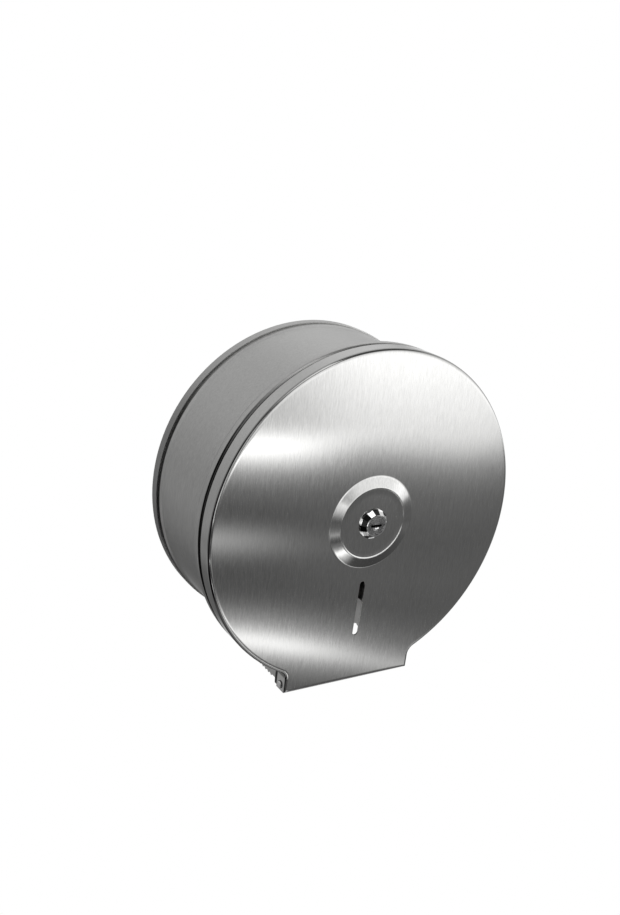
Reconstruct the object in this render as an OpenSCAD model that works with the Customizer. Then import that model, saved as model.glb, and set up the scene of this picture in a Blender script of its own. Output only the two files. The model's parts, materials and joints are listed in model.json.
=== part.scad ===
// Wall-mounted jumbo toilet roll dispenser in stainless sheet steel.
//
// A round drum carries the paper roll on a hub that turns on a fixed spindle. The crowned
// cover is hinged on two rivets beside the paper outlet, and its cam lock catches behind a
// keyhole plate on the front end of the spindle. Saw-toothed cheeks flank the outlet.
//
// X runs to the viewer's right and Z up. The wall is behind the part, at Y = 0, and the origin
// is the middle of the four wall screws, on the drum's axis. Most pieces are drawn in front
// view, as [x, up, distance from the wall], and facing() turns that view to face -Y.

/* [Sheet metal] */
// Thickness of the drum, back pan, cheeks and cover
sheet_t = 1; // [0.8:0.1:1.2]

/* [Cover] */
// Radius of the round cover
cover_r = 130; // [120:1:145]
// Depth of the cover's skirt, from its free edge to the edge of the face
skirt_d = 12.5; // [12:0.5:18]
// Radius of the bend from skirt to face
bend_r = 2.5; // [2:0.1:3]
// Height of the crown of the face above its edge
crown = 2; // [0.5:0.5:5]
// Outer radius of the embossed ring round the lock
ring_r = 35.8; // [33:0.1:40]
// Radius of the ring's crest
crest_r = 28; // [27.6:0.1:31]
// Height of the ring's crest above the crown
crest_rise = 1.8; // [1.7:0.1:3]
// Radius of the flat inside the ring
flat_r = 26.4; // [24:0.1:26.6]
// Height of the flat above the crown
flat_rise = 1.6; // [0.8:0.1:1.7]
// Width of the level slot
slot_w = 4.8; // [4.2:0.1:8]
// Length of the level slot
slot_len = 45.6; // [30:0.1:60]
// Distance from the lock's axis down to the upper end of the level slot
slot_top = 47.7; // [42:0.1:55]

/* [Spout] */
// Width of the spout, outside
spout_w = 113; // [100:1:125]
// How far the spout reaches below the round cover
spout_reach = 3.5; // [3:0.5:12]
// Radius of the hollow corners where the spout leaves the round
spout_fillet = 8; // [6:0.5:10]

/* [Drum] */
// Depth of the drum, from the wall to the front of its bead
drum_d = 95.5; // [88:0.5:110]
// Gap between the drum's bead and the free edge of the cover
mouth_gap = 3.2; // [2:0.1:5]
// How far the bead stands out from the drum's wall
bead_h = 6.2; // [5:0.1:8]
// Radius of the bead's front corner
bead_round = 3; // [2:0.1:3.4]
// Length of the flare from the wall to the bead
flare_d = 12; // [10:0.5:20]
// Length of the flat on top of the bead
bead_flat = 2.5; // [1:0.5:5]
// Gap between the drum's neck and the inside of the cover's skirt
neck_gap = 3; // [2.2:0.1:3]
// How far the neck reaches into the cover
neck_overlap = 5; // [3:0.5:5.5]
// How much smaller the back pan's radius is than the cover's
pan_step = 4; // [2:0.1:4]
// Depth of the back pan's rim
pan_rim_d = 10; // [9:0.5:14]
// Clearance between the drum's rear edge and the pan's rim
seat_gap = 0.1; // [0.05:0.05:0.3]
// Mean radius of the stiffening rib in the back pan
rib_r = 98; // [90:1:101]
// Width of the rib at its foot
rib_w = 12; // [10:1:14]
// Height of the rib
rib_h = 2.5; // [1:0.5:3]

/* [Cheeks] */
// Pitch of the saw teeth
tooth_pitch = 4.4; // [4:0.1:5.5]
// Height of the saw teeth
tooth_h = 1.5; // [1:0.1:2]
// Height of the tooth tips above the spout's lower edge
tip_up = 2; // [1.5:0.1:3]
// Width of the weld flange inside the drum
flange_w = 9; // [6:0.5:14]

/* [Hinge] */
// Distance of the hinge axis behind the edge of the face
hinge_back = 7.2; // [7:0.1:7.6]
// Height of the hinge axis above the spout's lower edge
hinge_up = 4.6; // [4.4:0.1:5]
// Radius of the cheek's nose round the hinge axis
nose_r = 4.9; // [4.4:0.1:5]
// Radius of the hinge rivet's shank
pivot_r = 2; // [1.6:0.1:2.2]
// Radius of the hinge rivet's heads
pivot_head_r = 3; // [2.8:0.1:3.4]
// Height of the hinge rivet's heads
pivot_head_h = 1.3; // [1:0.1:1.6]
// Thickness of the washer between tab and cheek
hinge_washer_t = 0.6; // [0.4:0.1:1]
// Play of the hinge along its axis
hinge_play = 0.15; // [0.1:0.05:0.3]
// Radial clearance of what turns on or in something else
run_gap = 0.08; // [0.05:0.01:0.1]

/* [Lock] */
// Radius of the bezel at its foot
bezel_r = 11.5; // [11.5:0.1:13]
// Radius of the bezel's front ring
bezel_tip_r = 8.2; // [8:0.1:8.6]
// Height of the bezel
bezel_h = 5.2; // [4:0.1:7]
// Number of facets on the bezel
facet_n = 14; // [14:1:18]
// Radius of the threaded barrel
barrel_r = 9.4; // [9:0.1:9.6]
// Distance between the flats on the barrel
barrel_af = 16.4; // [15.4:0.1:17]
// Length of the barrel behind the cover's flat
barrel_len = 16; // [14:0.5:18]
// Width of the nut across its flats
nut_af = 24; // [22:1:26]
// Thickness of the nut
nut_t = 4; // [3:0.5:5]
// Thickness of the lock washer
lock_washer_t = 0.8; // [0.5:0.1:1.2]
// Radius of the turning plug
plug_r = 6; // [5.6:0.1:6.2]
// Radius of the plug's head
plug_head_r = 7.2; // [6.8:0.1:7.4]
// Width of the keyway
key_w = 6.4; // [5:0.1:6.8]
// Height of the keyway
key_h = 1.4; // [1:0.1:2]
// Number of wafers in the plug
wafer_n = 4; // [2:1:4]
// Width of a wafer
wafer_w = 8.4; // [8:0.1:8.8]
// Width of the cam
cam_w = 10; // [8:0.5:12]
// Thickness of the cam
cam_t = 2; // [1.5:0.1:2.5]

/* [Spindle and hub] */
// Outer radius of the spindle tube
spindle_r = 20; // [18:0.5:22]
// Wall of the spindle tube
spindle_t = 1.5; // [1:0.1:2]
// Radius of the plate at the foot of the spindle
base_r = 44; // [42:0.5:46]
// Thickness of that plate, and of the strike plate
plate_t = 1.5; // [1:0.1:2.5]
// Radius of the circle of rivets in that plate
rivet_ring_r = 37; // [36.5:0.1:38]
// Radius of those rivets
rivet_r = 2.1; // [1.5:0.1:2.5]
// Wall of the roll hub
hub_wall = 2.5; // [2:0.1:3]
// Radius over the fins of the roll hub
fin_r = 27; // [26:0.1:28]
// Thickness of the fins
fin_t = 2.2; // [1.6:0.1:3]
// Number of fins
fin_n = 6; // [3:1:8]
// Radius of the flange at the rear of the hub
hub_flange_r = 31; // [29:0.1:32]
// Thickness of the thrust washers
thrust_t = 1; // [0.6:0.1:1.5]
// Play of the hub between its washers
hub_play = 0.3; // [0.2:0.05:1]

/* [Wall screws] */
// Distance between the wall screws, across and up
screw_pitch = 110; // [100:1:115]
// Radius of the wall screw holes
screw_hole_r = 3.25; // [2.5:0.05:3.5]

/* [Hidden] */
$fn = 72;
wide_fn = 180;                                   // sides of the large rounds
fine = 0.05;                                     // clearance of pieces that are fixed together
through = 1;                                     // how far a cutter passes what it cuts

// Distances from the wall, from the back to the front
cover_free_d = drum_d + mouth_gap;               // free edge of the cover's skirt
face_d = cover_free_d + skirt_d;                 // edge of the face
apex_d = face_d + crown;                         // where the face's crown would be highest
flat_d = apex_d + flat_rise;                     // flat round the lock
bezel_d = flat_d + bezel_h;                      // front of the bezel
barrel_end_d = flat_d - barrel_len;
cam_play = 0.2;                                  // between the barrel's end and the cam
cam_front_d = barrel_end_d - cam_play;
strike_gap = 1.6;                                // between the cam and the strike plate
strike_d = cam_front_d + strike_gap;             // rear face of the strike plate
base_d = sheet_t + plate_t;                      // front face of the spindle's plate
hub_rear_d = base_d + thrust_t + hub_play;
hub_front_d = strike_d - thrust_t - hub_play;
neck_d = cover_free_d + neck_overlap;            // front edge of the drum's neck
hinge_d = face_d - hinge_back;

// Radii round the drum's axis
face_r = cover_r - bend_r;                       // where the bend meets the face
wall_r = cover_r - bead_h;
wall_in_r = wall_r - sheet_t;
neck_r = cover_r - sheet_t - neck_gap;
pan_r = cover_r - pan_step;
rear_r = pan_r - sheet_t - seat_gap;             // the drum's rear edge, inside the pan's rim
spindle_in_r = spindle_r - spindle_t;
cam_swing = 2;                                   // clearance of the cam's tip in the spindle
cam_reach = spindle_in_r - cam_swing;
strike_hole_r = barrel_r + strike_gap;
strike_r = spindle_r + 4.5;

// The spout and what it holds, in front view
spout_x = spout_w / 2;
spout_low = cover_r + spout_reach;               // lower edge of the spout, below the axis
relief = hinge_play - fine;                      // bite of the hollow corners into round and side
fillet_x = spout_x + spout_fillet - relief;
fillet_low = sqrt(pow(cover_r + spout_fillet - relief, 2) - pow(fillet_x, 2));
cheek_x = spout_x - sheet_t - hinge_washer_t - hinge_play;
hinge_low = spout_low - hinge_up;
tip_low = spout_low - tip_up;                    // tips of the saw teeth
root_low = tip_low - tooth_h;
stop_low = spout_low + 0.5;                      // lowest point of the cheek's stop

// Bends of one radius, drawn with this many chords
bend_n = 6;

// Sheet steel, chrome, brass and plastic
steel = [0.72, 0.72, 0.71];
satin = [0.62, 0.62, 0.61];
bright = [0.85, 0.86, 0.88];
brass = [0.72, 0.58, 0.30];
dark_plastic = [0.16, 0.16, 0.17];

// Turns a piece drawn in front view so that it faces -Y
module facing() {
    rotate([90, 0, 0]) children();
}

// Points of an arc about [x, y], from angle a to angle b
function arc(x, y, r, a, b, n = bend_n) =
    [for (i = [0 : n]) let (t = a + (b - a) * i / n) [x + r * cos(t), y + r * sin(t)]];

// A line of points thickened to the left by t, as bent sheet has the same wall everywhere
function unit(v) = v / norm(v);
function left_of(p, i) = let (v = unit(p[i + 1] - p[i])) [-v[1], v[0]];
function mitre(p, i) =
    i == 0 ? left_of(p, 0)
    : i == len(p) - 1 ? left_of(p, i - 1)
    : let (m = left_of(p, i - 1) + left_of(p, i)) 2 * m / (m * m);
function sheet(p, t = sheet_t) =
    concat(p, [for (i = [len(p) - 1 : -1 : 0]) p[i] + t * mitre(p, i)]);

// Round disc and plain ring, both from distance d over a thickness t
module disc(r, d, t) {
    translate([0, 0, d]) cylinder(h = t, r = r);
}

module ring(r_in, r_out, d, t) {
    difference() {
        disc(r_out, d, t);
        disc(r_in, d - through, t + 2 * through);
    }
}

// A cylinder along X at the hinge axis, from x over a length l
module at_hinge(x, l, r) {
    translate([x, -hinge_low, hinge_d]) rotate([0, 90, 0]) cylinder(h = l, r = r);
}

// The same on both sides of the part
module both_sides() {
    children();
    mirror([1, 0, 0]) children();
}

// ---- Drum -------------------------------------------------------------------------------

// The pan's outline from the axis out: floor, stiffening rib, floor, bend and rim
rib_slope = 3;
pan_line = concat(
    [[0, 0],
     [rib_r - rib_w / 2, 0],
     [rib_r - rib_w / 2 + rib_slope, rib_h],
     [rib_r + rib_w / 2 - rib_slope, rib_h],
     [rib_r + rib_w / 2, 0]],
    arc(pan_r - bend_r, bend_r, bend_r, -90, 0),
    [[pan_r, pan_rim_d]]
);

module base_rivet_places() {
    for (i = [0 : 3]) rotate([0, 0, 90 * i]) translate([rivet_ring_r, 0, 0]) children();
}

module back_pan() {
    rib_foot = rib_r + rib_w / 2 + through;
    color(satin) facing() difference() {
        union() {
            difference() {
                rotate_extrude($fn = wide_fn) polygon(sheet(pan_line));
                // the rim is open between the cheeks
                translate([-cheek_x, -pan_r - through, sheet_t])
                    cube([2 * cheek_x, pan_r + through - rib_foot, pan_rim_d + through]);
            }
            // the tongue closes the outlet against the wall
            translate([-cheek_x, -tip_low, 0])
                cube([2 * cheek_x, tip_low - rib_foot, sheet_t]);
        }
        for (x = [-1, 1], y = [-1, 1])
            translate([x * screw_pitch / 2, y * screw_pitch / 2, -through])
                cylinder(h = rib_h + sheet_t + 2 * through, r = screw_hole_r);
        base_rivet_places() disc(rivet_r + fine, -through, sheet_t + 2 * through);
    }
}

// The drum's outline from the wall forward: rear seat, wall, flare, bead and neck
seat_taper = 3;
bead_end_d = drum_d - bead_round;
flare_end_d = bead_end_d - bead_flat;
flare_n = 10;
wall_line = concat(
    [[rear_r, bend_r],
     [rear_r, pan_rim_d + seat_taper],
     [wall_r, pan_rim_d + 2 * seat_taper]],
    [for (i = [0 : flare_n]) let (s = i / flare_n)
        [wall_r + bead_h * (1 - cos(180 * s)) / 2, flare_end_d - flare_d * (1 - s)]],
    arc(cover_r - bead_round, bead_end_d, bead_round, 0, 90),
    [[neck_r, drum_d], [neck_r, neck_d]]
);

module drum_wall() {
    color(satin) facing() difference() {
        rotate_extrude($fn = wide_fn) polygon(sheet(wall_line));
        // the paper outlet, from cheek to cheek
        translate([-cheek_x, -cover_r - through, -through])
            cube([2 * cheek_x, cover_r / 2, neck_d + 2 * through]);
    }
}

// ---- Cheeks -----------------------------------------------------------------------------

teeth_rear_d = pan_rim_d + 4;
stop_front_d = hinge_d - 6.4;
stop_rear_d = stop_front_d - 5;
notch_w = 2;
tooth_n = floor((stop_rear_d - notch_w - teeth_rear_d) / tooth_pitch);
teeth_front_d = teeth_rear_d + tooth_n * tooth_pitch;
cheek_top = sqrt(pow(wall_in_r, 2) - pow(cheek_x, 2)) - 3;
nose_front_d = hinge_d + nose_r;
corner_cut = 3;

// Side view of a cheek, as [distance from the wall, up]
cheek_line = concat(
    [[sheet_t, -cheek_top], [sheet_t, -root_low]],
    [for (i = [0 : tooth_n - 1]) each [
        [teeth_rear_d + i * tooth_pitch, -root_low],
        [teeth_rear_d + (i + 0.5) * tooth_pitch, -tip_low]]],
    [[teeth_front_d, -root_low],
     [stop_rear_d, -root_low],
     [stop_rear_d + 0.6, -stop_low],
     [stop_front_d, -stop_low],
     [stop_front_d + 1.2, -hinge_low - 3.9]],
    arc(hinge_d, -hinge_low, nose_r, -60, 0),
    [[nose_front_d, -cheek_top - corner_cut],
     [nose_front_d - corner_cut, -cheek_top]]
);

// The right cheek; the left one is its mirror image
module cheek() {
    flange_d = pan_rim_d + 2 * seat_taper + 1;
    difference() {
        union() {
            translate([cheek_x, 0, 0]) rotate([0, -90, 0])
                linear_extrude(sheet_t) polygon(cheek_line);
            // the flange follows the inside of the drum's wall, where it is welded
            intersection() {
                rotate_extrude($fn = wide_fn)
                    translate([wall_in_r - sheet_t - seat_gap, flange_d])
                        square([sheet_t, flare_end_d - flare_d - 1 - flange_d]);
                translate([cheek_x - sheet_t, -wall_r, 0])
                    cube([sheet_t + flange_w, wall_r / 2, drum_d]);
            }
        }
        at_hinge(cheek_x - sheet_t - through, sheet_t + 2 * through, pivot_r + run_gap);
    }
}

module right_cheek() {
    color(steel) facing() cheek();
}

module left_cheek() {
    color(steel) facing() mirror([1, 0, 0]) cheek();
}

// ---- Spindle and roll hub ---------------------------------------------------------------

module spindle_base() {
    color(steel) facing() difference() {
        disc(base_r, sheet_t, plate_t);
        disc(spindle_r + fine, 0, base_d + through);
        base_rivet_places() disc(rivet_r + fine, 0, base_d + through);
    }
}

module base_rivets() {
    head_r = rivet_r + 1.4;
    color(bright) facing() base_rivet_places() {
        disc(rivet_r, 0, base_d);
        disc(head_r, base_d, 0.8);
        translate([0, 0, base_d + 0.8]) cylinder(h = 1, r1 = head_r, r2 = head_r - 1.2);
    }
}

module spindle_tube() {
    color(steel) facing() ring(spindle_in_r, spindle_r, sheet_t, strike_d - sheet_t);
}

// The cam enters through the upright keyhole, and a quarter turn puts it behind the plate
module strike_plate() {
    slot_half = cam_w / 2 + 1;
    color(steel) facing() difference() {
        disc(strike_r, strike_d, plate_t);
        disc(strike_hole_r, strike_d - through, plate_t + 2 * through);
        translate([-slot_half, 0, strike_d - through])
            cube([2 * slot_half, cam_reach + 1.5, plate_t + 2 * through]);
    }
}

module hub_washers() {
    color(dark_plastic) facing() {
        ring(spindle_r + run_gap, strike_r, base_d, thrust_t);
        ring(spindle_r + run_gap, strike_r, strike_d - thrust_t, thrust_t);
    }
}

module roll_hub() {
    bore_r = spindle_r + run_gap;
    tube_r = bore_r + hub_wall;
    flange_t = 2.5;
    lead = 8;                                    // length of the fins' slope at the front
    color(dark_plastic) facing() difference() {
        union() {
            disc(tube_r, hub_rear_d, hub_front_d - hub_rear_d);
            disc(hub_flange_r, hub_rear_d, flange_t);
            for (i = [0 : fin_n - 1]) rotate([0, 0, 360 * i / fin_n])
                translate([0, fin_t / 2, 0]) rotate([90, 0, 0]) linear_extrude(fin_t)
                    polygon([[bore_r + hub_wall / 2, hub_rear_d + flange_t],
                             [fin_r, hub_rear_d + flange_t],
                             [fin_r, hub_front_d - lead],
                             [tube_r, hub_front_d - 1],
                             [bore_r + hub_wall / 2, hub_front_d - 1]]);
        }
        disc(bore_r, 0, face_d);
    }
}

// ---- Cover ------------------------------------------------------------------------------

// Half section of the round cover, from the skirt's free edge to the flat round the lock
rim_flat = 4;                                    // flat band inside the bend
dome_r = face_r - rim_flat;
function face_at(r) = apex_d - crown * pow(r / dome_r, 2);
face_n = 10;
cover_line = concat(
    [[cover_r, cover_free_d]],
    arc(face_r, face_d - bend_r, bend_r, 0, 90),
    [for (i = [0 : face_n]) let (r = dome_r + (ring_r - dome_r) * i / face_n) [r, face_at(r)]],
    [[crest_r + 0.8, apex_d + crest_rise - 0.2],
     [crest_r, apex_d + crest_rise],
     [crest_r - 0.8, apex_d + crest_rise - 0.1],
     [flat_r, flat_d],
     [0, flat_d]]
);

// Section of the edge of the spout: x is the distance in from the outline
edge_line = concat(
    [[0, cover_free_d]],
    arc(bend_r, face_d - bend_r, bend_r, 180, 90),
    [[bend_r + 1, face_d]]
);

// The inner side of a sheet along a line, run on past the free edge at the back. The metal
// lies to the left of the line, and with a negative t to the right
function inside(p, t) =
    [for (i = [0 : len(p) - 1]) p[i] + t * mitre(p, i) - (i == 0 ? [0, through] : [0, 0])];

// The round, filled in up to a section
module round_block(line) {
    rotate_extrude($fn = wide_fn)
        polygon(concat(line, [[0, line[0][1]]]));
}

// The straight part of the spout, filled in up to the section of its edge
module spout_block(line, top) {
    last = len(line) - 1;
    intersection() {
        translate([0, top, 0]) rotate([90, 0, 0]) linear_extrude(top + spout_low + through)
            polygon(concat([for (p = line) [spout_x - p[0], p[1]]],
                           [for (i = [last : -1 : 0]) [line[i][0] - spout_x, line[i][1]]]));
        translate([-spout_x - through, 0, 0]) rotate([90, 0, 90])
            linear_extrude(spout_w + 2 * through)
                polygon(concat([for (p = line) [p[0] - spout_low, p[1]]],
                               [[top, line[last][1]], [top, line[0][1]]]));
    }
}

// Round and spout filled in up to their sections, with the hollow corners cut out
module cover_block(round_line, line) {
    last = len(line) - 1;
    difference() {
        union() {
            round_block(round_line);
            spout_block(line, through - fillet_low);
            translate([0, 0, line[0][1]]) linear_extrude(line[last][1] - line[0][1])
                polygon([[0, 0], [-fillet_x, -fillet_low], [fillet_x, -fillet_low]]);
        }
        for (x = [-1, 1]) translate([x * fillet_x, -fillet_low, 0]) rotate_extrude()
            polygon(concat([[0, line[0][1] - through],
                            [spout_fillet + line[0][0], line[0][1] - through]],
                           [for (i = [1 : last - 1]) [spout_fillet + line[i][0], line[i][1]]],
                           [[spout_fillet + line[last - 1][0], face_d + through],
                            [0, face_d + through]]));
    }
}

module front_cover() {
    lip_x = spout_x - sheet_t;
    color(steel) facing() difference() {
        cover_block(cover_line, edge_line);
        cover_block(inside(cover_line, sheet_t), inside(edge_line, -sheet_t));
        // the foot has only the bend, between the two tabs
        translate([-lip_x, -spout_low - through, cover_free_d - through])
            cube([2 * lip_x, bend_r + through, skirt_d - bend_r + through]);
        // level slot
        translate([0, -slot_top - slot_len / 2, face_d]) {
            for (y = [-1, 1]) translate([0, y * (slot_len - slot_w) / 2, -5])
                cylinder(h = 10, r = slot_w / 2);
            translate([-slot_w / 2, -(slot_len - slot_w) / 2, -5])
                cube([slot_w, slot_len - slot_w, 10]);
        }
        // hole for the lock's barrel, with its two flats
        translate([0, 0, flat_d - 3]) linear_extrude(6) barrel_section(0.15);
        both_sides() at_hinge(spout_x - 2 * sheet_t, 3 * sheet_t, pivot_r + fine);
    }
}

// ---- Hinge ------------------------------------------------------------------------------

module hinge_rivets() {
    tail_x = cheek_x - sheet_t - hinge_play;
    head_step = 0.5;
    color(bright) facing() both_sides() {
        at_hinge(tail_x, spout_x - tail_x, pivot_r);
        at_hinge(spout_x, head_step, pivot_head_r);
        translate([spout_x + head_step, -hinge_low, hinge_d]) rotate([0, 90, 0])
            cylinder(h = pivot_head_h - head_step, r1 = pivot_head_r, r2 = pivot_head_r * 0.6);
        at_hinge(tail_x - pivot_head_h, pivot_head_h, pivot_head_r - 0.2);
    }
}

module hinge_washers() {
    washer_r = nose_r - 0.7;
    color(bright) facing() both_sides() difference() {
        at_hinge(cheek_x, hinge_washer_t, washer_r);
        at_hinge(cheek_x - through, hinge_washer_t + 2 * through, pivot_r + run_gap);
    }
}

// ---- Lock -------------------------------------------------------------------------------

// Section of the barrel, larger by gap: a round with two flats
module barrel_section(gap = 0) {
    intersection() {
        circle(r = barrel_r + gap);
        square([barrel_af + 2 * gap, 3 * barrel_r], center = true);
    }
}

bezel_foot = 0.8;
bezel_ledge = 0.3;                               // between the foot's edge and the facets
bezel_lip = 0.4;
head_sink = 0.5;                                 // the plug's face lies behind the front ring
head_t = 1.9;
head_gap = 0.1;

module lock_housing() {
    facet_low_r = (bezel_r - bezel_ledge) * cos(180 / facet_n);
    facet_tilt = atan2(facet_low_r - bezel_tip_r - 0.3, bezel_h - bezel_foot - bezel_lip);
    color(bright) facing() difference() {
        union() {
            difference() {
                disc(bezel_r, flat_d, bezel_h - bezel_lip);
                for (i = [0 : facet_n - 1]) rotate([0, 0, 360 * (i + 0.5) / facet_n])
                    translate([facet_low_r, 0, flat_d + bezel_foot]) rotate([0, -facet_tilt, 0])
                        translate([0, -bezel_r, 0]) cube(2 * bezel_r);
            }
            disc(bezel_tip_r, flat_d, bezel_h);
            translate([0, 0, barrel_end_d]) linear_extrude(barrel_len) barrel_section();
        }
        disc(plug_r + run_gap, barrel_end_d - through, barrel_len + bezel_h);
        disc(plug_head_r + run_gap, bezel_d - head_sink - head_t - head_gap, bezel_h);
    }
}

module lock_washer() {
    color(bright) facing()
        ring(barrel_r + fine, nut_af / 2 + 1, flat_d - sheet_t - lock_washer_t, lock_washer_t);
}

module lock_nut() {
    nut_d = flat_d - sheet_t - lock_washer_t - nut_t;
    color(bright) facing() difference() {
        translate([0, 0, nut_d]) cylinder(h = nut_t, r = nut_af / 2 / cos(30), $fn = 6);
        disc(barrel_r + fine, nut_d - through, nut_t + 2 * through);
    }
}

wafer_t = 0.7;
wafer_pitch = 1.9;
wafer_gap = 0.1;
plug_face_d = bezel_d - head_sink;
key_depth = 2.6 + wafer_n * wafer_pitch;
stud_af = 5.6;
cam_screw_r = 1.5;
cam_screw_len = 8;

module wafer_places() {
    for (i = [0 : wafer_n - 1])
        translate([0, 0, plug_face_d - 2.6 - i * wafer_pitch]) children();
}

// Square stud behind the plug, which drives the cam
module stud_section(gap = 0) {
    square(stud_af + 2 * gap, center = true);
}

module key_plug() {
    stud_len = cam_t - 0.1;
    color(bright) facing() difference() {
        union() {
            disc(plug_r, cam_front_d, plug_face_d - cam_front_d);
            disc(plug_head_r, plug_face_d - head_t, head_t);
            translate([0, 0, cam_front_d - stud_len]) linear_extrude(stud_len + 1)
                stud_section();
        }
        // keyway, and the shallow notch across the face round it
        translate([-key_w / 2, -key_h / 2, plug_face_d - key_depth])
            cube([key_w, key_h, key_depth + through]);
        translate([-key_w / 2 - 1.5, -key_h / 2 - 0.2, plug_face_d - 0.8])
            cube([key_w + 3, key_h + 0.4, 1.8]);
        wafer_places() cube([wafer_w + 2 * wafer_gap, 3 * plug_r, wafer_t + 2 * wafer_gap],
                            center = true);
        disc(cam_screw_r + fine, cam_front_d - cam_t - through,
             cam_screw_len + cam_t + through);
    }
}

module lock_wafers() {
    window_h = 3.6;
    color(brass) facing() wafer_places() difference() {
        intersection() {
            cube([wafer_w, 2 * plug_r, wafer_t], center = true);
            cylinder(h = wafer_t, r = plug_r - wafer_gap, center = true);
        }
        cube([key_w + 0.2, window_h, 3 * wafer_t], center = true);
    }
}

module lock_cam() {
    color(bright) facing() translate([0, 0, cam_front_d - cam_t]) linear_extrude(cam_t)
        difference() {
            intersection() {
                circle(r = cam_reach);
                union() {
                    circle(r = plug_r + 1);
                    translate([-cam_w / 2, 0]) square([cam_w, cam_reach]);
                }
            }
            stud_section(fine);
        }
}

cam_washer_t = 0.8;

module cam_washer() {
    color(bright) facing()
        ring(cam_screw_r + fine, 5, cam_front_d - cam_t - cam_washer_t, cam_washer_t);
}

module cam_screw() {
    head_r = 3.2;
    head_h = 2.2;
    socket_af = 2.5;
    seat_d = cam_front_d - cam_t - cam_washer_t;
    color(bright) facing() difference() {
        union() {
            disc(head_r, seat_d - head_h, head_h);
            disc(cam_screw_r, seat_d, cam_washer_t + cam_t + cam_screw_len - 0.5);
        }
        translate([0, 0, seat_d - head_h - through])
            cylinder(h = head_h / 2 + through, r = socket_af / 2 / cos(30), $fn = 6);
    }
}

back_pan();
drum_wall();
left_cheek();
right_cheek();
spindle_base();
base_rivets();
spindle_tube();
strike_plate();
hub_washers();
roll_hub();
front_cover();
hinge_rivets();
hinge_washers();
lock_housing();
lock_washer();
lock_nut();
key_plug();
lock_wafers();
lock_cam();
cam_washer();
cam_screw();
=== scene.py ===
# %% [markdown]
# # A round toilet roll dispenser in stainless sheet
#
# The real thing is a washroom dispenser for one jumbo roll: a drum of stainless sheet on the
# wall, closed by a crowned cover that hinges at the paper outlet and locks in its middle. The
# frame brings the measured part in; this lesson adds what its exact solids leave out, which is
# smooth shading over the cover's crown and bends, small things at the key, and the finishes. Then
# it lights them so that they look as they do in the photograph.

import json
import math

import bpy
import numpy as np
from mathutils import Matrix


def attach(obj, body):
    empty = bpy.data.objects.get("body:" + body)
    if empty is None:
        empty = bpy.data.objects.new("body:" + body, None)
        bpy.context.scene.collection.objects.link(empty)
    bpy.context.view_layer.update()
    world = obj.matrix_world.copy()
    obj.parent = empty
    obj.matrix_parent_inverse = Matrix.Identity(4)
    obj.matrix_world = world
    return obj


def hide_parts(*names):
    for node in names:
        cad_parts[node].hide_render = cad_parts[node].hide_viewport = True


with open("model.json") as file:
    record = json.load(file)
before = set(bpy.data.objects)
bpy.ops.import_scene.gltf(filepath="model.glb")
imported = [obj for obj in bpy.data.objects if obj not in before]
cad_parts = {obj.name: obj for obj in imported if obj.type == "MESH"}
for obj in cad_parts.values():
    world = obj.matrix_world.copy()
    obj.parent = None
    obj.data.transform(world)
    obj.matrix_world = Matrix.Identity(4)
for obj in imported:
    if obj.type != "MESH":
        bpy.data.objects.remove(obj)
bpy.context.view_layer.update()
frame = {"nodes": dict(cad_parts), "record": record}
MM = 0.001

# %% [markdown]
# ## Maths for shaders
#
# Shader nodes are easier to read as sums and products. A field wraps one output of a node, so
# `a * b + 0.2` makes the two maths nodes by itself. Every other node comes from one method.

# %% Fields and trees
class Field:
    """One output of a shader node, with the usual arithmetic."""

    def __init__(self, tree, socket):
        self.tree = tree
        self.socket = socket

    def _maths(self, operation, *others, clamp=False):
        inputs = dict(enumerate((self,) + others))
        return self.tree.make("ShaderNodeMath", inputs, operation=operation, use_clamp=clamp)

    def __add__(self, other):
        return self._maths("ADD", other)

    def __sub__(self, other):
        return self._maths("SUBTRACT", other)

    def __rsub__(self, other):
        return self.tree.make("ShaderNodeMath", {0: other, 1: self}, operation="SUBTRACT")

    def __mul__(self, other):
        return self._maths("MULTIPLY", other)

    def __truediv__(self, other):
        return self._maths("DIVIDE", other)

    __radd__ = __add__
    __rmul__ = __mul__

    def power(self, exponent):
        return self._maths("POWER", exponent)

    def most(self, other):
        """The larger of the two."""
        return self._maths("MAXIMUM", other)

    def size(self):
        """The value without its sign."""
        return self._maths("ABSOLUTE")

    def clamp(self):
        """The value, held between 0 and 1."""
        return self._maths("ADD", 0.0, clamp=True)

    def ramp(self, start, end, low=0.0, high=1.0):
        """low before start, high after end, and a smooth step between them."""
        return self.tree.make(
            "ShaderNodeMapRange",
            {0: self, 1: start, 2: end, 3: low, 4: high},
            interpolation_type="SMOOTHSTEP",
        )


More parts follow.
